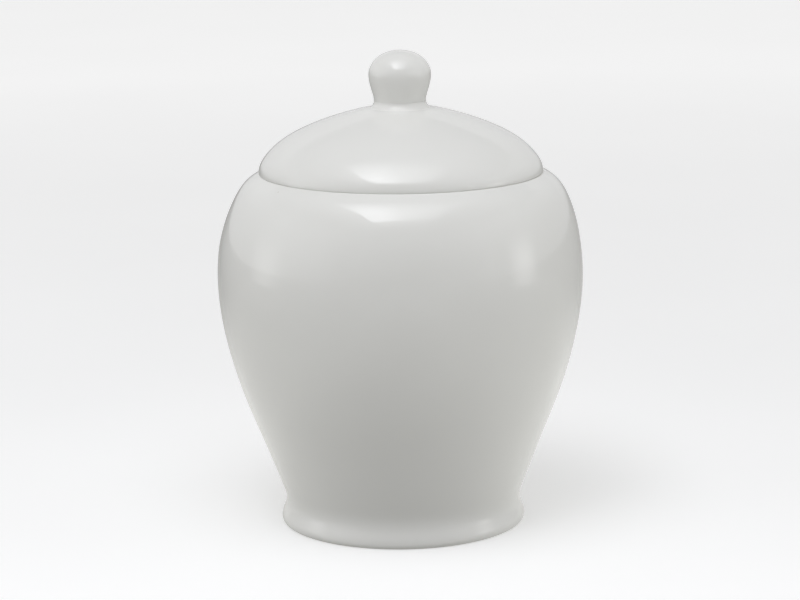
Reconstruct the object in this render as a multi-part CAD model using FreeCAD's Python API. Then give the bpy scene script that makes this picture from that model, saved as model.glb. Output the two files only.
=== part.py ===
"""A lidded jar in glazed porcelain: a shouldered body on a flared foot, and a lift-off domed lid.

Every piece is a solid of revolution about Z. The origin is the centre of the ring the jar stands on,
+Z is up, and lengths are millimetres. Outlines are drawn as (radius, height) in the XZ half plane.
"""

import math
import os

import FreeCAD
import Part

# --- the jar, outside -------------------------------------------------------------------------
FOOT_R = 29.65  # widest point of the flared foot
FOOT_EDGE = 1.15  # rounding under the foot's edge
WAIST_R = 28.62  # narrowest point, just above the foot
WAIST_Z = 4.6
BELLY_R = 44.0  # widest point of the jar
BELLY_Z = 60.9
SEAT_Z = 85.65  # the flat land the lid rests on
RIM_R = 34.0  # where the shoulder would meet the land, before its edge is eased
RIM_EASE = 0.4
SHOULDER_END_DEG = 27.5  # the shoulder's slope where it reaches the rim

# --- the jar, inside --------------------------------------------------------------------------
WALL = 3.0
FLOOR_Z = 6.4  # inside floor
FLOOR_CORNER = 6.5
MOUTH_R = 30.4
MOUTH_EASE = 0.8
MOUTH_Z = 82.8  # lower end of the mouth's straight wall
INNER_TOP_Z = 80.4  # where the inner wall turns in under the rim
INNER_LOW_Z = 13.5  # where the inner wall turns to the floor
RECESS_R = 25.6  # the hollow under the foot
RECESS_Z = 2.5
RECESS_DRAFT = 0.7
STAND_EASE = 0.7  # rounding on the inner edge of the standing ring

# --- the lid ----------------------------------------------------------------------------------
LID_R = 33.9
LID_EDGE_Z = SEAT_Z + 1.15  # widest point of the lid's rounded edge
LID_UNDER_EASE = 0.3
LID_WALL = 3.0
FLANGE_GAP = 0.8  # radial play between the flange and the mouth
FLANGE_WALL = 2.6
FLANGE_DEPTH = 5.5
FLANGE_ROOT = 0.5
NECK_R = 6.2  # where the knob is luted on, its narrowest point
NECK_Z = 102.75
NECK_COVE = 1.35  # how far the cove at the neck spreads onto the dome
COVE_Z = 101.05
DOME_END_DEG = 9.0  # the dome's slope where the cove begins
HOLLOW_Z = 98.3  # top of the hollow under the dome

# --- the knob ---------------------------------------------------------------------------------
KNOB_R = 7.45
KNOB_Z = 109.0  # height of its widest point
KNOB_TOP_Z = 114.8

UP = (0.0, 1.0)
DOWN = (0.0, -1.0)
OUT = (1.0, 0.0)
IN = (-1.0, 0.0)


def vec(point):
    """A (radius, height) pair as a vector in the XZ half plane."""
    return FreeCAD.Vector(point[0], 0.0, point[1])


def along(point, direction, distance):
    return (point[0] + direction[0] * distance, point[1] + direction[1] * distance)


def heading(degrees):
    """A unit direction, measured from outward towards up."""
    return (math.cos(math.radians(degrees)), math.sin(math.radians(degrees)))


def meeting(point_a, direction_a, point_b, direction_b):
    """Where two lines cross."""
    cross = direction_a[0] * direction_b[1] - direction_a[1] * direction_b[0]
    offset = (point_b[0] - point_a[0], point_b[1] - point_a[1])
    distance = (offset[0] * direction_b[1] - offset[1] * direction_b[0]) / cross
    return along(point_a, direction_a, distance)


def line(start, end):
    return Part.LineSegment(vec(start), vec(end)).toShape()


def eased(corner, arriving, leaving, radius):
    """The arc that rounds a corner, as (start, end, edge). Directions are those of travel."""
    cosine = arriving[0] * leaving[0] + arriving[1] * leaving[1]
    turn = math.acos(max(-1.0, min(1.0, cosine)))
    setback = radius * math.tan(turn / 2)
    start = along(corner, arriving, -setback)
    end = along(corner, leaving, setback)
    bisector = (leaving[0] - arriving[0], leaving[1] - arriving[1])
    length = math.hypot(bisector[0], bisector[1])
    inward = (bisector[0] / length, bisector[1] / length)
    middle = along(corner, inward, radius / math.cos(turn / 2) - radius)
    return start, end, Part.Arc(vec(start), vec(middle), vec(end)).toShape()


def smooth(points, leaving=None, arriving=None):
    """One B-spline through the points, run by chord length, with end directions if they are given."""
    stations = [0.0]
    for start, end in zip(points, points[1:]):
        stations.append(stations[-1] + math.hypot(end[0] - start[0], end[1] - start[1]))
    options = {"Points": [vec(p) for p in points], "Parameters": stations}
    if leaving and arriving:
        options["InitialTangent"] = vec(leaving)
        options["FinalTangent"] = vec(arriving)
        options["Scale"] = False
    curve = Part.BSplineCurve()
    curve.interpolate(**options)
    return curve


def inset(curve, thickness, low_z, high_z, steps):
    """Points at the wall's thickness inside an outline, at even steps of height on the outline."""
    points = []
    for step in range(steps + 1):
        height = low_z + (high_z - low_z) * step / steps
        plane = Part.Plane(FreeCAD.Vector(0, 0, height), FreeCAD.Vector(0, 0, 1))
        hit = plane.intersect(curve)[0][0]
        parameter = curve.parameter(FreeCAD.Vector(hit.X, hit.Y, hit.Z))
        tangent = curve.tangent(parameter)[0]
        if tangent.z < 0:
            tangent = tangent * -1.0
        points.append((hit.X - tangent.z * thickness, hit.Z + tangent.x * thickness))
    return points


def turned(edges):
    """A closed outline turned about Z into one solid."""
    wire = Part.Wire(Part.__sortEdges__(edges))
    solid = Part.Face(wire).revolve(FreeCAD.Vector(0, 0, 0), FreeCAD.Vector(0, 0, 1), 360)
    if solid.ShapeType != "Solid":
        solid = Part.Solid(solid.Shells[0])
    if solid.Volume < 0:
        solid.reverse()
    return solid


def jar_outline():
    """The jar's outside, from the foot's edge up to the rim."""
    slope = heading(180.0 - SHOULDER_END_DEG)
    rim_start, rim_end, rim_edge = eased((RIM_R, SEAT_Z), slope, IN, RIM_EASE)
    side = smooth(
        [
            (FOOT_R, FOOT_EDGE),
            (WAIST_R, WAIST_Z),
            (29.60, 9.7),
            (33.75, 20.5),
            (38.30, 32.1),
            (41.75, 43.7),
            (BELLY_R, BELLY_Z),
            (42.55, 72.7),
            (40.55, 78.5),
            (37.1, 83.7),
            rim_start,
        ],
        UP,
        slope,
    )
    return side, rim_end, rim_edge


def jar_body():
    side, rim_end, rim_edge = jar_outline()
    foot_start, foot_end, foot_edge = eased((FOOT_R, 0.0), OUT, UP, FOOT_EDGE)
    edges = [foot_edge, side.toShape(), rim_edge]

    # the land, the mouth and the turn in under the rim
    mouth_start, mouth_end, mouth_edge = eased((MOUTH_R, SEAT_Z), IN, DOWN, MOUTH_EASE)
    wall = inset(side, WALL, INNER_LOW_Z, INNER_TOP_Z, 7)
    under_rim = smooth(list(reversed(wall)))
    top_tangent = under_rim.tangent(under_rim.FirstParameter)[0]
    low_tangent = under_rim.tangent(under_rim.LastParameter)[0]
    edges += [
        line(rim_end, mouth_start),
        mouth_edge,
        line(mouth_end, (MOUTH_R, MOUTH_Z)),
        smooth([(MOUTH_R, MOUTH_Z), wall[-1]], DOWN, (top_tangent.x, top_tangent.z)).toShape(),
        under_rim.toShape(),
    ]

    # the floor's corner and the floor
    falling = (low_tangent.x, low_tangent.z)
    corner = meeting(wall[0], falling, (0.0, FLOOR_Z), OUT)
    corner_start, corner_end, corner_edge = eased(corner, falling, IN, FLOOR_CORNER)
    edges += [
        line(wall[0], corner_start),
        corner_edge,
        line(corner_end, (0.0, FLOOR_Z)),
        line((0.0, FLOOR_Z), (0.0, RECESS_Z)),
    ]

    # the hollow under the foot and the ring it stands on
    recess_wall = (RECESS_R - RECESS_DRAFT, RECESS_Z)
    length = math.hypot(RECESS_DRAFT, RECESS_Z)
    descending = (RECESS_DRAFT / length, -RECESS_Z / length)
    top_start, top_end, top_edge = eased(recess_wall, OUT, descending, STAND_EASE)
    ring_start, ring_end, ring_edge = eased((RECESS_R, 0.0), descending, OUT, STAND_EASE)
    edges += [
        line((0.0, RECESS_Z), top_start),
        top_edge,
        line(top_end, ring_start),
        ring_edge,
        line(ring_end, foot_start),
    ]
    return turned(edges)


def lid_outline():
    """The dome, from the lid's widest point up to the cove at the neck."""
    return smooth(
        [
            (LID_R, LID_EDGE_Z),
            (32.25, 89.85),
            (29.70, 92.35),
            (22.45, 96.50),
            (13.70, 99.60),
            (NECK_R + NECK_COVE, COVE_Z),
        ],
        UP,
        heading(180.0 - DOME_END_DEG),
    )


def lid_shell():
    dome = lid_outline()
    dome_end = heading(180.0 - DOME_END_DEG)
    under_start, under_end, under_edge = eased((LID_R, SEAT_Z), OUT, UP, LID_UNDER_EASE)
    edges = [
        under_edge,
        line(under_end, (LID_R, LID_EDGE_Z)),
        dome.toShape(),
        smooth([(NECK_R + NECK_COVE, COVE_Z), (NECK_R, NECK_Z)], dome_end, UP).toShape(),
        line((NECK_R, NECK_Z), (0.0, NECK_Z)),
    ]

    # the hollow under the dome, down to the flange's inner wall
    flange_out = MOUTH_R - FLANGE_GAP
    flange_in = flange_out - FLANGE_WALL
    flange_z = SEAT_Z - FLANGE_DEPTH
    hollow = inset(dome, LID_WALL, 96.2, 99.2, 1)
    inside = [(flange_in, SEAT_Z)] + hollow + [(0.0, HOLLOW_Z)]
    edges += [
        line((0.0, NECK_Z), inside[-1]),
        smooth(inside, UP, IN).toShape(),
    ]

    # the flange that drops into the mouth, and the land round it
    tip = FLANGE_WALL / 2
    flange_tip = Part.Arc(
        vec((flange_in, flange_z + tip)),
        vec((flange_in + tip, flange_z)),
        vec((flange_out, flange_z + tip)),
    )
    root_start, root_end, root_edge = eased((flange_out, SEAT_Z), UP, OUT, FLANGE_ROOT)
    edges += [
        line(inside[0], (flange_in, flange_z + tip)),
        flange_tip.toShape(),
        line((flange_out, flange_z + tip), root_start),
        root_edge,
        line(root_end, under_start),
    ]
    return turned(edges)


def lid_knob():
    crown = smooth([(KNOB_R, KNOB_Z), (5.1, 113.3), (0.0, KNOB_TOP_Z)], UP, IN)
    taper = smooth(
        [(NECK_R, NECK_Z), (6.72, 105.2), (KNOB_R, KNOB_Z)],
        UP,
        UP,
    )
    edges = [
        line((0.0, NECK_Z), (NECK_R, NECK_Z)),
        taper.toShape(),
        crown.toShape(),
        line((0.0, KNOB_TOP_Z), (0.0, NECK_Z)),
    ]
    return turned(edges)


NODES = {
    "jar_body": jar_body,
    "lid_shell": lid_shell,
    "lid_knob": lid_knob,
}


def main():
    os.makedirs("parts", exist_ok=True)
    for name, make in NODES.items():
        shape = make()
        if not shape.isValid() or len(shape.Solids) != 1:
            raise ValueError(name + " is not one valid solid")
        shape.exportStep("parts/" + name + ".step")
        print(name, "volume", round(shape.Volume / 1000, 2), "ml")


main()
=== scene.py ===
"""The looks of a lidded porcelain jar: glazed body, domed lid and knob, on a pale studio floor.

Outlines are drawn in millimetres as (radius, height), through the CAD's driving points, and become
metres when a mesh is made. Every piece is turned about Z and given the small irregularities of cast
and fired clay: a little warp, a faint ripple, and glaze that stands up where the clay is left bare.
"""

import math

import bpy
import numpy as np
from mathutils import Matrix, Vector


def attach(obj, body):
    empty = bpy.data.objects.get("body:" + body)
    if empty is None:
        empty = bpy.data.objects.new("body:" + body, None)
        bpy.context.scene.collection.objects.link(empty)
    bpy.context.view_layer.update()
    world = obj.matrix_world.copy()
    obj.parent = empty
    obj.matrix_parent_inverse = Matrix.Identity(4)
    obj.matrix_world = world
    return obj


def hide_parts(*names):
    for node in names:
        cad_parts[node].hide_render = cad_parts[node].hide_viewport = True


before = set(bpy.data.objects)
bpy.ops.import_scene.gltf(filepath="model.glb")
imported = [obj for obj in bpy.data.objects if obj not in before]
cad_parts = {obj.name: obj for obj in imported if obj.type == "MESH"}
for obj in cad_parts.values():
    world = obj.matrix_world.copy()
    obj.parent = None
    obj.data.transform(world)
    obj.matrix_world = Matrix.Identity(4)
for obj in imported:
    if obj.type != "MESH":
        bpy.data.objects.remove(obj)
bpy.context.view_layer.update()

MM = 0.001
UP = (0.0, 1.0)
DOWN = (0.0, -1.0)
OUT = (1.0, 0.0)
IN = (-1.0, 0.0)

# --- driving dimensions, in millimetres: the CAD's, but for a slightly crisper edge to the lid ----
FOOT_R = 29.65
FOOT_EDGE = 1.15  # the radius of the foot's edge
WAIST_R = 28.62
WAIST_Z = 4.6
BELLY_R = 44.0
BELLY_Z = 60.9
SEAT_Z = 85.65  # the land that the lid rests on
RIM_R = 34.0
RIM_EASE = 0.4
SHOULDER_END_DEG = 27.5  # the shoulder's slope where it meets the rim
WALL = 3.0
FLOOR_Z = 6.4
FLOOR_CORNER = 6.5
MOUTH_R = 30.4
MOUTH_EASE = 0.8
MOUTH_Z = 82.8  # the mouth is straight above this height
INNER_TOP_Z = 80.4  # between this height of the outside
INNER_LOW_Z = 13.5  # and this one, the inner wall runs a wall's thickness inside it
RECESS_R = 25.6
RECESS_Z = 2.5
RECESS_DRAFT = 0.7
STAND_EASE = 0.7
LID_R = 34.0
LID_EDGE_Z = SEAT_Z + 0.55  # where the dome starts
LID_UNDER_EASE = 0.33
FLANGE_GAP = 0.8
FLANGE_WALL = 2.6
FLANGE_DEPTH = 5.5
FLANGE_ROOT = 0.5
NECK_R = 6.2
NECK_Z = 102.75  # the joint between the lid and its knob
COVE_R = NECK_R + 1.35
COVE_Z = 101.05
DOME_END_DEG = 9.0  # the dome's slope where it meets the cove
HOLLOW_Z = 98.3  # the crown of the hollow under the dome
HOLLOW_UNDER = (99.2, 96.2)  # heights on the dome where the hollow is a wall's thickness under it
KNOB_R = 7.45
KNOB_Z = 109.0
KNOB_TOP_Z = 114.8

# --- mesh density, in millimetres ---------------------------------------------------------------
FINE = 0.16  # between points next to a small rounding
COARSE = 1.0  # between points on a long run
GROWTH = 1.22  # how fast the spacing grows from one to the other
SEGMENTS = 192  # round the jar and the lid
KNOB_SEGMENTS = 128
SPLINE_STEPS = 60  # polyline points between two points of a spline
FOOT_STEPS = 14  # points round the foot's edge
FOOT_BARE_STEPS = 4  # of which so many, next to the ground, are on bare clay
EASE_STEPS = 4  # the fewest steps round an eased corner

# --- how the fired clay departs from a perfect turning, in millimetres --------------------------
GLAZE_ROLL = 0.10  # the glaze stands up by a little less than this where it stops at bare clay
ROLL_START = 0.12  # over this distance from the bare clay it rises
ROLL_WIDTH = 1.1  # and over this one it sinks back
RIPPLES = ((2, 0.05), (3, 0.03), (5, 0.012), (8, 0.008))  # waves round the piece, and their sizes
RIPPLE_DRIFT = 0.012  # the most they turn with height, in radians per millimetre
RING_SHARE = 0.25  # the size of the rings up the piece, next to the waves round it
RING_PITCH = 40.0  # the rings' spacing is this over the number of waves
RING_PITCH_LEAST = 6.0  # and this added to it
STILL_R = 6.0  # inside this radius the waves fade out, so that the poles stay smooth
WARP_LOW_Z = 66.0  # the jar is true below this height
WARP_HIGH_Z = 84.0  # and has the whole of the next two values above this one
MOUTH_SHIFT = 0.65  # how far the mouth is off centre, towards +X
MOUTH_LEAN_DEG = 0.20  # how far it leans towards +X, and the lid with it
LID_SHIFT = 0.46  # where the loose lid happens to sit in its play
LID_WARP_LOW_Z = 0.0  # this height and the next are under the lid, so that all of it is moved
LID_WARP_HIGH_Z = 1.0


# --- outlines -----------------------------------------------------------------------------------
def heading(degrees):
    """A unit direction, measured from outward towards up."""
    return (math.cos(math.radians(degrees)), math.sin(math.radians(degrees)))


def along(point, direction, distance):
    """The point at a distance in a direction."""
    return (point[0] + direction[0] * distance, point[1] + direction[1] * distance)


def meeting(point_a, direction_a, point_b, direction_b):
    """Where two lines cross."""
    cross = direction_a[0] * direction_b[1] - direction_a[1] * direction_b[0]
    offset = (point_b[0] - point_a[0], point_b[1] - point_a[1])
    distance = (offset[0] * direction_b[1] - offset[1] * direction_b[0]) / cross
    return along(point_a, direction_a, distance)


def graded(length):
    """Distances from 0 to a length, close together at both ends and further apart between."""
    steps = [FINE]
    while sum(steps) < length / 2:
        steps.append(min(steps[-1] * GROWTH, COARSE))
    steps = np.array(steps + steps[::-1])
    stops = np.concatenate([[0.0], np.cumsum(steps)])
    return stops * (length / stops[-1])


def spline(points, leaving, arriving):
    """A smooth curve through points with the given end directions, as a dense polyline."""
    knots = np.array(points, float)
    gaps = np.hypot(*np.diff(knots, axis=0).T)
    count = len(knots)
    system = np.eye(count)
    slopes = np.zeros((count, 2))
    slopes[0] = leaving
    slopes[-1] = arriving
    for i in range(1, count - 1):
        before = gaps[i - 1]
        after = gaps[i]
        system[i, i - 1 : i + 2] = (after, 2 * (before + after), before)
        rise = (knots[i] - knots[i - 1]) * after / before
        fall = (knots[i + 1] - knots[i]) * before / after
        slopes[i] = 3 * (rise + fall)
    slopes = np.linalg.solve(system, slopes)
    pieces = []
    for i in range(count - 1):
        t = np.linspace(0.0, 1.0, SPLINE_STEPS)[:, None]
        gap = gaps[i]
        pieces.append(
            (1 + 2 * t) * (1 - t) ** 2 * knots[i]
            + t * (1 - t) ** 2 * gap * slopes[i]
            + t * t * (3 - 2 * t) * knots[i + 1]
            + t * t * (t - 1) * gap * slopes[i + 1]
        )
    return np.vstack([pieces[0]] + [piece[1:] for piece in pieces[1:]])


def resampled(polyline):
    """The same path with points spaced by the mesh's density."""
    lengths = np.hypot(*np.diff(polyline, axis=0).T)
    travelled = np.concatenate([[0.0], np.cumsum(lengths)])
    stops = graded(travelled[-1])
    return np.column_stack([np.interp(stops, travelled, polyline[:, k]) for k in (0, 1)])


def inset(polyline, thickness):
    """A path at a wall's thickness to the left of one that runs upward."""
    tangent = np.gradient(polyline, axis=0)
    tangent /= np.hypot(*tangent.T)[:, None]
    return polyline + thickness * np.column_stack([-tangent[:, 1], tangent[:, 0]])


def from_height(polyline, low, high):
    """The stretch of a rising path between two heights."""
    inside = (polyline[:, 1] >= low) & (polyline[:, 1] <= high)
    return polyline[inside]


def end_direction(polyline, last=True):
    """The direction of travel at one end of a path."""
    step = polyline[-1] - polyline[-2] if last else polyline[1] - polyline[0]
    return tuple(step / np.hypot(*step))


class Outline:
    """The section of a turned piece, drawn from the axis round to the axis again."""

    def __init__(self, start):
        self.points = [start]
        self.bare = []

    def path(self, polyline, bare=False):
        for point in polyline[1:]:
            self.points.append((max(float(point[0]), 0.0), float(point[1])))
            self.bare.append(bare)

    def line(self, end, bare=False):
        start = self.points[-1]
        if math.dist(start, end) > FINE / 2:
            self.path(resampled(np.array([start, end], float)), bare)

    def curve(self, points, leaving, arriving, bare=False):
        self.path(resampled(spline([self.points[-1]] + points, leaving, arriving)), bare)

    def eased(self, corner, arriving, leaving, radius, bare=False):
        """A straight run to a rounded corner and the arc round it."""
        cosine = arriving[0] * leaving[0] + arriving[1] * leaving[1]
        turn = math.acos(max(-1.0, min(1.0, cosine)))
        setback = radius * math.tan(turn / 2)
        self.line(along(corner, arriving, -setback), bare)
        start = np.array(self.points[-1])
        side = (leaving[0] - arriving[0] * cosine, leaving[1] - arriving[1] * cosine)
        side = np.array(side) / math.hypot(*side)
        steps = max(EASE_STEPS, round(turn * radius / FINE))
        angles = np.linspace(0.0, turn, steps + 1)[:, None]
        arc = start + radius * (np.sin(angles) * np.array(arriving) + (1 - np.cos(angles)) * side)
        self.path(arc, bare)


def jar_side():
    """The jar's outside from the foot's edge to the shoulder's end."""
    slope = heading(180.0 - SHOULDER_END_DEG)
    turn = math.radians(SHOULDER_END_DEG)
    setback = RIM_EASE * math.tan(turn / 2)
    rim_start = along((RIM_R, SEAT_Z), slope, -setback)
    points = [
        (FOOT_R, FOOT_EDGE),
        (WAIST_R, WAIST_Z),
        (29.60, 9.7),
        (33.75, 20.5),
        (38.30, 32.1),
        (41.75, 43.7),
        (BELLY_R, BELLY_Z),
        (42.55, 72.7),
        (40.55, 78.5),
        (37.1, 83.7),
        rim_start,
    ]
    return spline(points, UP, slope), slope


def jar_outline():
    side, slope = jar_side()
    wall = inset(from_height(side, INNER_LOW_Z, INNER_TOP_Z), WALL)
    outline = Outline((0.0, RECESS_Z))

    # the hollow under the foot and the bare ring the jar stands on
    length = math.hypot(RECESS_DRAFT, RECESS_Z)
    descending = (RECESS_DRAFT / length, -RECESS_Z / length)
    outline.eased((RECESS_R - RECESS_DRAFT, RECESS_Z), OUT, descending, STAND_EASE)
    outline.eased((RECESS_R, 0.0), descending, OUT, STAND_EASE, bare=True)
    outline.line((FOOT_R - FOOT_EDGE, 0.0), bare=True)

    # the foot's edge, the side, the rim and the bare land
    angles = np.radians(np.linspace(0.0, 90.0, FOOT_STEPS))[:, None]
    centre = np.array([FOOT_R - FOOT_EDGE, FOOT_EDGE])
    arc = centre + FOOT_EDGE * np.hstack([np.sin(angles), -np.cos(angles)])
    outline.path(arc[:FOOT_BARE_STEPS], bare=True)
    outline.path(arc[FOOT_BARE_STEPS - 1 :])
    outline.path(resampled(side))
    outline.eased((RIM_R, SEAT_Z), slope, IN, RIM_EASE)
    outline.eased((MOUTH_R, SEAT_Z), IN, DOWN, MOUTH_EASE, bare=True)

    # the mouth, the inner wall and the floor
    outline.line((MOUTH_R, MOUTH_Z))
    down_wall = wall[::-1]
    outline.curve([tuple(down_wall[0])], DOWN, end_direction(down_wall, last=False))
    outline.path(resampled(down_wall))
    falling = end_direction(down_wall)
    corner = meeting(tuple(down_wall[-1]), falling, (0.0, FLOOR_Z), OUT)
    outline.eased(corner, falling, IN, FLOOR_CORNER)
    outline.line((0.0, FLOOR_Z))
    return outline


def lid_outline():
    dome_end = heading(180.0 - DOME_END_DEG)
    dome_points = [
        (32.25, 89.85),
        (29.70, 92.35),
        (22.45, 96.50),
        (13.70, 99.60),
        (COVE_R, COVE_Z),
    ]
    dome = spline([(LID_R, LID_EDGE_Z)] + dome_points, UP, dome_end)
    flange_out = MOUTH_R - FLANGE_GAP
    flange_in = flange_out - FLANGE_WALL
    flange_z = SEAT_Z - FLANGE_DEPTH
    tip = FLANGE_WALL / 2

    # the hollow under the dome, from its crown to the flange's tip
    hollow = [(0.0, HOLLOW_Z)]
    for height in HOLLOW_UNDER:
        nearest = int(np.argmin(np.abs(dome[:, 1] - height)))
        hollow.append(tuple(inset(dome, WALL)[nearest]))
    hollow.append((flange_in, SEAT_Z))
    outline = Outline(hollow[0])
    outline.curve(hollow[1:], OUT, DOWN)
    outline.eased((flange_in, flange_z), DOWN, OUT, tip)
    outline.eased((flange_out, flange_z), OUT, UP, tip, bare=True)

    # the flange's outside, the bare land, the edge and the dome
    outline.eased((flange_out, SEAT_Z), UP, OUT, FLANGE_ROOT, bare=True)
    outline.line((LID_R - LID_UNDER_EASE, SEAT_Z), bare=True)
    outline.eased((LID_R, SEAT_Z), OUT, UP, LID_UNDER_EASE)
    outline.line((LID_R, LID_EDGE_Z))
    outline.path(resampled(dome))
    outline.curve([(NECK_R, NECK_Z)], dome_end, UP)
    outline.line((0.0, NECK_Z))
    return outline


def knob_outline():
    outline = Outline((0.0, NECK_Z))
    outline.line((NECK_R, NECK_Z))
    outline.curve([(6.72, 105.2), (KNOB_R, KNOB_Z)], UP, UP)
    outline.curve([(5.1, 113.3), (0.0, KNOB_TOP_Z)], UP, IN)
    return outline


# --- meshes -------------------------------------------------------------------------------------
def rolled_glaze(points, bare):
    """Push the glazed points next to bare clay outward, as glaze gathers along its edge."""
    lengths = np.hypot(*np.diff(points, axis=0).T)
    travelled = np.concatenate([[0.0], np.cumsum(lengths)])
    is_bare = np.zeros(len(points), bool)
    is_bare[1:] |= bare
    is_bare[:-1] |= bare
    if not is_bare.any():
        return points
    to_bare = np.abs(travelled[:, None] - travelled[is_bare][None, :]).min(axis=1)
    rise = 1 - np.exp(-to_bare / ROLL_START)
    lift = GLAZE_ROLL * rise * np.exp(-((to_bare / ROLL_WIDTH) ** 2))
    tangent = np.gradient(points, axis=0)
    tangent /= np.maximum(np.hypot(*tangent.T), 1e-9)[:, None]
    normal = np.column_stack([tangent[:, 1], -tangent[:, 0]])
    moved = points + lift[:, None] * normal
    moved[:, 0] = np.maximum(moved[:, 0], 0.0)
    moved[[0, -1]] = points[[0, -1]]
    return moved


def ripple(azimuth, height, seed):
    """Faint waves in the surface, in millimetres, from throwing, trimming and firing."""
    draw = np.random.default_rng(seed)
    wave = np.zeros(np.broadcast(azimuth, height).shape)
    for lobes, size in RIPPLES:
        turn, rise, shift = draw.uniform(0, 2 * math.pi, 3)
        drift = RIPPLE_DRIFT * height * math.sin(shift)
        wave += size * np.cos(lobes * azimuth + turn + drift)
        pitch = RING_PITCH / lobes + RING_PITCH_LEAST
        wave += size * RING_SHARE * np.cos(2 * math.pi * height / pitch + rise + azimuth)
    return wave


def warped(coordinates, shift, lean_deg, low_z, high_z):
    """Shift points towards +X and lean them about the seat, more and more from low_z to high_z."""
    lean = np.array(Matrix.Rotation(math.radians(lean_deg), 3, "Y"))
    pivot = np.array([0.0, 0.0, SEAT_Z])
    moved = (coordinates - pivot) @ lean.T + pivot + np.array([shift, 0.0, 0.0])
    share = np.clip((coordinates[:, 2:] - low_z) / (high_z - low_z), 0.0, 1.0)
    return coordinates + share * share * (3.0 - 2.0 * share) * (moved - coordinates)


def turned(name, outline, segments, seed, materials, warp):
    """Turn an outline about Z into a closed mesh of quads, with a fan of triangles at each pole."""
    points = rolled_glaze(np.array(outline.points), np.array(outline.bare))
    rings = points[1:-1]
    azimuths = np.arange(segments) * (2 * math.pi / segments)
    radius = rings[:, 0][:, None]
    height = np.repeat(rings[:, 1][:, None], segments, axis=1)
    settle = np.clip(rings[:, 0] / STILL_R, 0, 1)[:, None]
    spread = radius + settle * ripple(azimuths[None, :], height, seed)
    x = spread * np.cos(azimuths)
    y = spread * np.sin(azimuths)
    ring_points = np.stack([x, y, height], axis=2).reshape(-1, 3)
    poles = np.array([[0.0, 0.0, points[0, 1]], [0.0, 0.0, points[-1, 1]]])
    coordinates = warped(np.vstack([ring_points, poles]), *warp)

    first_pole = len(ring_points)
    faces = []
    indices = []
    for i in range(len(rings) - 1):
        for j in range(segments):
            k = (j + 1) % segments
            a = i * segments + j
            b = i * segments + k
            faces.append((a, b, b + segments, a + segments))
            indices.append(1 if outline.bare[i + 1] else 0)
    last = (len(rings) - 1) * segments
    for j in range(segments):
        k = (j + 1) % segments
        faces.append((first_pole, k, j))
        faces.append((first_pole + 1, last + j, last + k))
        indices += [0, 0]

    mesh = bpy.data.meshes.new(name)
    mesh.from_pydata((coordinates * MM).tolist(), [], faces)
    mesh.polygons.foreach_set("material_index", indices)
    mesh.polygons.foreach_set("use_smooth", [True] * len(faces))
    for material in materials:
        mesh.materials.append(material)
    mesh.update()
    piece = bpy.data.objects.new(name, mesh)
    bpy.context.collection.objects.link(piece)
    return piece


# --- the looks of glaze and bare clay; scales are in cycles per metre, bumps in metres -----------
GLAZE_TONES = [(0.30, (0.860, 0.859, 0.832)), (0.70, (0.876, 0.875, 0.849))]
GLAZE_CLOUDS = 38.0
GLAZE_ROUGH_SCALE = 160.0
GLAZE_ROUGH_LEAST = 0.30  # this and the next are the body's, under the clear coat
GLAZE_ROUGH_MOST = 0.40
GLAZE_WAVE_SCALE = 55.0
GLAZE_WAVE_HEIGHT = 0.00006
GLAZE_GRAIN_SCALE = 420.0
GLAZE_GRAIN_HEIGHT = 0.000006
SPECK_COLOUR = (0.46, 0.40, 0.32)
SPECK_CELLS = 105.0  # one possible speck to a cell of this scale
SPECK_EDGE = [(0.012, 1.0), (0.022, 0.0)]  # a speck's shade by its radius, in cells
SPECK_PATCHES = 23.0  # specks show only in some patches of this scale
SPECK_SHARE = [(0.60, 0.0), (0.63, 0.6)]
CLAY_TONES = [(0.35, (0.68, 0.66, 0.61)), (0.62, (0.77, 0.76, 0.72))]
CLAY_STAIN_SCALE = 120.0
CLAY_STAIN_HEIGHT = 0.00004
CLAY_GRAIN_SCALE = 2600.0
CLAY_GRAIN_HEIGHT = 0.00003
CLAY_GRAIN_TONES = [(0.35, 0.90), (0.60, 1.0)]


# --- materials ----------------------------------------------------------------------------------
def graded_ramp(tree, source, stops):
    """A colour ramp read at a source socket. A stop is (position, grey or colour)."""
    node = tree.nodes.new("ShaderNodeValToRGB")
    tree.links.new(source, node.inputs["Fac"])
    elements = node.color_ramp.elements
    while len(elements) < len(stops):
        elements.new(0.5)
    for element, (position, value) in zip(elements, stops):
        colour = value if isinstance(value, tuple) else (value, value, value)
        element.position = position
        element.color = (*colour, 1.0)
    return node.outputs["Color"]


def product(tree, first, second):
    """Two values of a node tree multiplied."""
    node = tree.nodes.new("ShaderNodeMath")
    node.operation = "MULTIPLY"
    tree.links.new(first, node.inputs[0])
    tree.links.new(second, node.inputs[1])
    return node.outputs["Value"]


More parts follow.
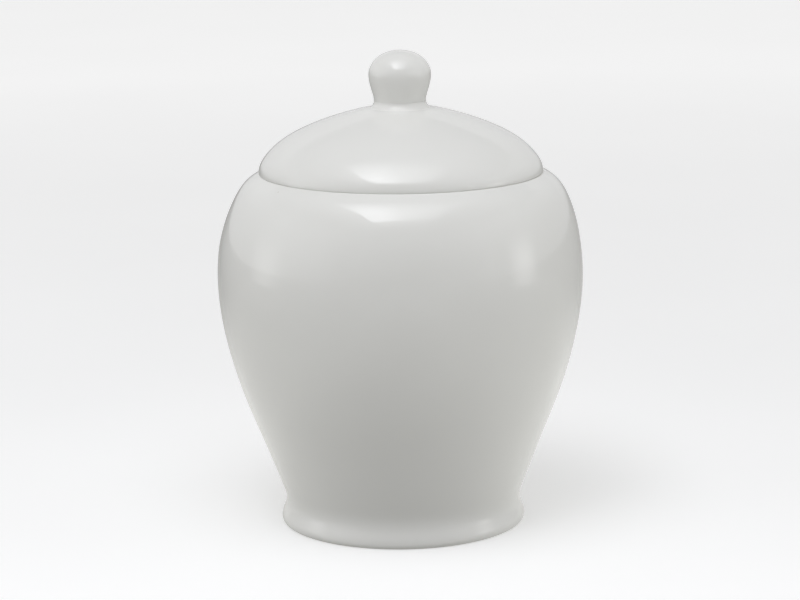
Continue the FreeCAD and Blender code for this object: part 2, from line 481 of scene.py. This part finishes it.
class Nodes:
    """A material's node tree, with short calls for adding and linking nodes."""

    def __init__(self, name):
        self.material = bpy.data.materials.new(name)
        self.material.use_nodes = True
        self.tree = self.material.node_tree
        self.shader = self.tree.nodes["Principled BSDF"]

    def add(self, kind, **settings):
        node = self.tree.nodes.new(kind)
        for key, value in settings.items():
            if key in node.inputs:
                node.inputs[key].default_value = value
            else:
                setattr(node, key, value)
        return node

    def link(self, source, target):
        self.tree.links.new(source, target)

    def noise(self, coordinates, scale, detail=2.0, roughness=0.5):
        node = self.add("ShaderNodeTexNoise", Scale=scale, Detail=detail, Roughness=roughness)
        self.link(coordinates, node.inputs["Vector"])
        return node.outputs["Fac"]

    def ramp(self, source, stops):
        return graded_ramp(self.tree, source, stops)

    def mixed(self, factor, first, second, blend="MIX"):
        node = self.add("ShaderNodeMix", data_type="RGBA", blend_type=blend)
        sockets = {s.identifier: s for s in node.inputs}
        for key, value in (("Factor_Float", factor), ("A_Color", first), ("B_Color", second)):
            if isinstance(value, bpy.types.NodeSocket):
                self.link(value, sockets[key])
            elif key == "Factor_Float":
                sockets[key].default_value = value
            else:
                sockets[key].default_value = (*value, 1.0)
        return next(s for s in node.outputs if s.identifier == "Result_Color")

    def bumps(self, layers):
        """Stacked bump layers of (height, distance in metres)."""
        normal = None
        for height, distance in layers:
            node = self.add("ShaderNodeBump", Distance=distance, Strength=1.0)
            self.link(height, node.inputs["Height"])
            if normal is not None:
                self.link(normal, node.inputs["Normal"])
            normal = node.outputs["Normal"]
        return normal


def porcelain_glaze():
    """Clear glossy glaze over white porcelain, with faint tone changes and rare iron specks."""
    nodes = Nodes("glazed_porcelain")
    shader = nodes.shader
    place = nodes.add("ShaderNodeTexCoord").outputs["Object"]

    # the body's tone, and the specks in it
    body = nodes.ramp(nodes.noise(place, GLAZE_CLOUDS, detail=3.0), GLAZE_TONES)
    cells = nodes.add("ShaderNodeTexVoronoi", Scale=SPECK_CELLS, Randomness=1.0)
    nodes.link(place, cells.inputs["Vector"])
    speck_shape = nodes.ramp(cells.outputs["Distance"], SPECK_EDGE)
    speck_share = nodes.ramp(nodes.noise(place, SPECK_PATCHES, detail=0.0), SPECK_SHARE)
    speck = nodes.mixed(1.0, speck_shape, speck_share, "MULTIPLY")
    nodes.link(nodes.mixed(speck, body, SPECK_COLOUR), shader.inputs["Base Color"])

    # the body scatters, and the clear coat over it shines
    rough = nodes.add("ShaderNodeMapRange")
    nodes.link(nodes.noise(place, GLAZE_ROUGH_SCALE), rough.inputs["Value"])
    rough.inputs["To Min"].default_value = GLAZE_ROUGH_LEAST
    rough.inputs["To Max"].default_value = GLAZE_ROUGH_MOST
    nodes.link(rough.outputs["Result"], shader.inputs["Roughness"])
    shader.inputs["IOR"].default_value = 1.45
    shader.inputs["Specular IOR Level"].default_value = 0.15
    shader.inputs["Coat Weight"].default_value = 1.0
    shader.inputs["Coat Roughness"].default_value = 0.012
    shader.inputs["Coat IOR"].default_value = 1.5
    waves = nodes.noise(place, GLAZE_WAVE_SCALE, detail=1.0)
    grain = nodes.noise(place, GLAZE_GRAIN_SCALE)
    skin = nodes.bumps([(waves, GLAZE_WAVE_HEIGHT), (grain, GLAZE_GRAIN_HEIGHT)])
    nodes.link(skin, shader.inputs["Normal"])
    nodes.link(skin, shader.inputs["Coat Normal"])
    return nodes.material


def bare_porcelain():
    """Fired porcelain wiped free of glaze: matt, fine grained and a little warmer."""
    nodes = Nodes("bare_porcelain")
    place = nodes.add("ShaderNodeTexCoord").outputs["Object"]
    stains = nodes.noise(place, CLAY_STAIN_SCALE, detail=4.0)
    grain = nodes.noise(place, CLAY_GRAIN_SCALE, detail=4.0, roughness=0.7)
    clay = nodes.ramp(stains, CLAY_TONES)
    grains = nodes.ramp(grain, CLAY_GRAIN_TONES)
    nodes.link(nodes.mixed(1.0, clay, grains, "MULTIPLY"), nodes.shader.inputs["Base Color"])
    nodes.shader.inputs["Roughness"].default_value = 0.78
    skin = nodes.bumps([(stains, CLAY_STAIN_HEIGHT), (grain, CLAY_GRAIN_HEIGHT)])
    nodes.link(skin, nodes.shader.inputs["Normal"])
    return nodes.material


# --- the pieces ---------------------------------------------------------------------------------
JAR_SEED = 11
LID_SEED = 23
KNOB_SEED = 37

finishes = [porcelain_glaze(), bare_porcelain()]

jar_warp = (MOUTH_SHIFT, MOUTH_LEAN_DEG, WARP_LOW_Z, WARP_HIGH_Z)
jar = turned("jar_body_glazed", jar_outline(), SEGMENTS, JAR_SEED, finishes, jar_warp)
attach(jar, "jar")
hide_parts("jar_body")

lid_warp = (LID_SHIFT, MOUTH_LEAN_DEG, LID_WARP_LOW_Z, LID_WARP_HIGH_Z)
lid = turned("lid_shell_glazed", lid_outline(), SEGMENTS, LID_SEED, finishes, lid_warp)
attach(lid, "lid")
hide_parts("lid_shell")

knob = turned("lid_knob_glazed", knob_outline(), KNOB_SEGMENTS, KNOB_SEED, finishes, lid_warp)
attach(knob, "lid")
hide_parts("lid_knob")


# --- the studio ---------------------------------------------------------------------------------
WHITE = (1.0, 1.0, 1.0)
FLOOR_HALF = 6.0
FLOOR_MOTTLE = 9.0  # cycles per metre
FLOOR_TONES = [(0.3, 0.86), (0.7, 0.88)]
# painted light: the floor glows, least near the jar and more further out, a painted shade round the
# jar
FLOOR_GLOW_STOPS = [(0.15, 0.24), (0.90, 0.46)]  # the floor's own glow, by metres from the jar

# The camera sees the floor, but the jar is lit by a sheet just under it, and mirrors that sheet.
SHEET_DROP = 0.0002
SHEET_SPAN = 0.30  # its tones run over this many metres each way from the jar's axis
SHEET_TONE = 0.20
SHEET_GLOW = 1.53  # its glow, times the next two: from front to back, and from left to right
SHEET_DEPTH_STOPS = [(0.0, 0.30), (0.22, 0.29), (0.45, 0.45), (0.62, 0.52), (0.85, 0.31)]
SHEET_WIDTH_STOPS = [(0.15, 0.44), (0.39, 0.97), (0.50, 0.73), (0.64, 1.00), (0.85, 0.64)]
SHADE_PLACE = (-0.010, -0.050, 0.0)  # a dim spot, just in front of the foot
SHADE_STOPS = [(0.030, (0.55, 0.55, 0.53)), (0.080, (1.0, 1.0, 0.965))]  # by metres from there


def pale_floor():
    """The floor as it is seen: pale paper with a faint mottle, and painted light: a glow of its own
    that is weaker near the jar, a painted shade round it.
    """
    nodes = Nodes("pale_floor")
    place = nodes.add("ShaderNodeTexCoord").outputs["Object"]
    paper = nodes.noise(place, FLOOR_MOTTLE, detail=3.0)
    nodes.link(nodes.ramp(paper, FLOOR_TONES), nodes.shader.inputs["Base Color"])
    nodes.shader.inputs["Roughness"].default_value = 0.85
    nodes.shader.inputs["Specular IOR Level"].default_value = 0.1
    # painted light and painted shade: the floor's glow grows with distance from the jar's axis
    distance = nodes.add("ShaderNodeVectorMath", operation="LENGTH")
    nodes.link(place, distance.inputs[0])
    glow = nodes.ramp(distance.outputs["Value"], FLOOR_GLOW_STOPS)
    nodes.link(glow, nodes.shader.inputs["Emission Color"])
    nodes.shader.inputs["Emission Strength"].default_value = 1.0
    return nodes.material


def bounce_sheet():
    """What the floor throws back at the jar: most from just behind it, and least from in front."""
    nodes = Nodes("bounce_sheet")
    place = nodes.add("ShaderNodeTexCoord").outputs["Object"]
    parts = nodes.add("ShaderNodeSeparateXYZ")
    nodes.link(place, parts.inputs["Vector"])
    glow = None
    for side, stops in (("X", SHEET_WIDTH_STOPS), ("Y", SHEET_DEPTH_STOPS)):
        reach = nodes.add("ShaderNodeMapRange")
        reach.inputs["From Min"].default_value = -SHEET_SPAN
        reach.inputs["From Max"].default_value = SHEET_SPAN
        nodes.link(parts.outputs[side], reach.inputs["Value"])
        tone = nodes.ramp(reach.outputs["Result"], stops)
        glow = nodes.mixed(1.0, glow, tone, "MULTIPLY") if glow else tone
    distance = nodes.add("ShaderNodeVectorMath", operation="DISTANCE")
    distance.inputs[1].default_value = SHADE_PLACE
    nodes.link(place, distance.inputs[0])
    shade = nodes.ramp(distance.outputs["Value"], SHADE_STOPS)
    nodes.link(nodes.mixed(1.0, glow, shade, "MULTIPLY"), nodes.shader.inputs["Emission Color"])
    nodes.shader.inputs["Emission Strength"].default_value = SHEET_GLOW
    nodes.shader.inputs["Base Color"].default_value = (SHEET_TONE, SHEET_TONE, SHEET_TONE, 1.0)
    nodes.shader.inputs["Roughness"].default_value = 1.0
    nodes.shader.inputs["Specular IOR Level"].default_value = 0.0
    return nodes.material


def floor_plane(name, height, material):
    """A square of floor."""
    turns = ((-1, -1), (1, -1), (1, 1), (-1, 1))
    corners = [(x * FLOOR_HALF, y * FLOOR_HALF, height) for x, y in turns]
    mesh = bpy.data.meshes.new(name)
    mesh.from_pydata(corners, [], [(0, 1, 2, 3)])
    mesh.materials.append(material)
    plane = bpy.data.objects.new(name, mesh)
    bpy.context.collection.objects.link(plane)
    return plane


def panel(name, place, size, radiance, across, depth, target=None, turn_deg=0.0, colour=WHITE):
    """A soft rectangular light, hidden from the camera.

    It faces a target point, or straight down and turned about the vertical. Its radiance is graded
    across it, along its own X, and in depth, along its own Y.
    """
    light = bpy.data.lights.new(name, "AREA")
    light.shape = "RECTANGLE"
    light.color = colour
    light.size, light.size_y = size
    light.energy = radiance * math.pi * size[0] * size[1]
    light.use_nodes = True
    tree = light.node_tree
    parts = tree.nodes.new("ShaderNodeSeparateXYZ")
    geometry = tree.nodes.new("ShaderNodeNewGeometry")
    tree.links.new(geometry.outputs["Parametric"], parts.inputs["Vector"])
    glow_across = graded_ramp(tree, parts.outputs["X"], across)
    glow_in_depth = graded_ramp(tree, parts.outputs["Y"], depth)
    glow = product(tree, glow_across, glow_in_depth)
    tree.links.new(glow, tree.nodes["Emission"].inputs["Strength"])
    lamp = bpy.data.objects.new(name, light)
    lamp.location = place
    if target:
        facing = Vector(target) - Vector(place)
        lamp.rotation_euler = facing.to_track_quat("-Z", "Y").to_euler()
    else:
        lamp.rotation_euler = (0.0, 0.0, math.radians(turn_deg))
    lamp.visible_camera = False
    bpy.context.collection.objects.link(lamp)


# The surround's tone is the product of three ramps: from left to right, from front to back, and
# from underneath to overhead. The step in the last is the top edge of a pale backdrop.
WIDTH_STOPS = [(0.4, 1.0), (0.7, 0.96), (1.0, 1.05)]
DEPTH_STOPS = [(0.0, 0.17), (0.12, 0.37), (0.25, 0.78), (0.50, 0.98), (0.70, 0.70)]
HEIGHT_STOPS = [(0.762, 1.0), (0.772, 0.58), (0.88, 0.50), (1.0, 0.42)]
BACKDROP = 0.93  # what the camera sees past the floor


def studio_world():
    """A surround that is bright at the sides, dimmer behind and overhead, and dark in front."""
    world = bpy.data.worlds.new("studio")
    world.use_nodes = True
    tree = world.node_tree
    parts = tree.nodes.new("ShaderNodeSeparateXYZ")
    coordinates = tree.nodes.new("ShaderNodeTexCoord")
    tree.links.new(coordinates.outputs["Generated"], parts.inputs["Vector"])
    tone = None
    for axis, stops in (("X", WIDTH_STOPS), ("Y", DEPTH_STOPS), ("Z", HEIGHT_STOPS)):
        place = tree.nodes.new("ShaderNodeMapRange")
        place.inputs["From Min"].default_value = -1.0
        tree.links.new(parts.outputs[axis], place.inputs["Value"])
        ramp = graded_ramp(tree, place.outputs["Result"], stops)
        tone = product(tree, tone, ramp) if tone else ramp
    surround = tree.nodes["Background"]
    tree.links.new(tone, surround.inputs["Strength"])
    surround.inputs["Color"].default_value = (*WHITE, 1.0)
    backdrop = tree.nodes.new("ShaderNodeBackground")
    backdrop.inputs["Color"].default_value = (BACKDROP, BACKDROP, BACKDROP, 1.0)
    rays = tree.nodes.new("ShaderNodeLightPath")
    choice = tree.nodes.new("ShaderNodeMixShader")
    tree.links.new(rays.outputs["Is Camera Ray"], choice.inputs["Fac"])
    tree.links.new(surround.outputs["Background"], choice.inputs[1])
    tree.links.new(backdrop.outputs["Background"], choice.inputs[2])
    tree.links.new(choice.outputs["Shader"], tree.nodes["World Output"].inputs["Surface"])
    bpy.context.scene.world = world


seen_floor = floor_plane("studio_floor", 0.0, pale_floor())
seen_floor.visible_diffuse = False
seen_floor.visible_glossy = False
bounce_floor = floor_plane("bounce_sheet", -SHEET_DROP, bounce_sheet())
bounce_floor.visible_camera = False

OVERHEAD_Z = 0.71
SIDE_TARGET = (0.0, 0.0, 0.07)  # the side boxes face the jar above its middle
panel(
    "overhead_box",
    place=(0.009, -0.252, OVERHEAD_Z),
    size=(0.59, 0.68),
    radiance=3.55,
    across=[(0.0, 1.0), (0.25, 0.95), (0.50, 0.40), (1.0, 0.16)],
    depth=[(0.0, 1.0), (0.40, 0.97), (1.0, 0.0)],
    turn_deg=3.5,
    colour=(0.985, 1.0, 1.05),
)
panel(
    "overhead_glow",
    place=(-0.12, -0.37, OVERHEAD_Z + 0.01),
    size=(0.80, 0.80),
    radiance=1.35,
    across=[(0.0, 0.1), (0.26, 0.45), (0.34, 0.9), (0.50, 1.0), (0.8, 0.7), (1.0, 0.3)],
    depth=[(0.0, 0.6), (0.2, 1.0), (0.70, 1.0), (1.0, 0.0)],
)
for name, place, size, radiance in (
    ("right_box", (0.60, -0.10, 0.11), (0.26, 0.26), 1.75),
    ("left_box", (-0.62, 0.0, 0.10), (0.34, 0.36), 1.0),
):
    panel(
        name,
        place,
        size,
        radiance,
        across=[(0.0, 0.0), (0.4, 1.0), (0.6, 1.0), (1.0, 0.0)],
        depth=[(0.0, 0.6), (0.5, 1.0), (1.0, 0.0)],
        target=SIDE_TARGET,
    )
studio_world()
bpy.context.scene.view_settings.view_transform = "Standard"


# --- the camera ---------------------------------------------------------------------------------
CAMERA_DISTANCE = 0.6566  # metres, level, from the jar's axis
CAMERA_HEIGHT = 0.1895
CAMERA_NEAR = 0.01
CAMERA_LENS = 124.6  # millimetres, on a sensor 36 mm wide
CAMERA_ROLL = -0.0136  # radians: the camera leans a little, so the jar leans in the picture
AIM_HEIGHT = 0.0541
AIM_X = -0.0001

camera = bpy.data.objects.new("camera", bpy.data.cameras.new("camera"))
camera.data.lens = CAMERA_LENS
camera.data.clip_start = CAMERA_NEAR
viewpoint = Vector((AIM_X, -CAMERA_DISTANCE, CAMERA_HEIGHT))
forward = (Vector((AIM_X, 0.0, AIM_HEIGHT)) - viewpoint).normalized()
level_right = forward.cross(Vector((0.0, 0.0, 1.0))).normalized()
level_up = level_right.cross(forward)
right = math.cos(CAMERA_ROLL) * level_right + math.sin(CAMERA_ROLL) * level_up
upward = right.cross(forward)
facing = Matrix((right, upward, -forward)).transposed().to_4x4()
camera.matrix_world = Matrix.Translation(viewpoint) @ facing
bpy.context.collection.objects.link(camera)
bpy.context.scene.camera = camera
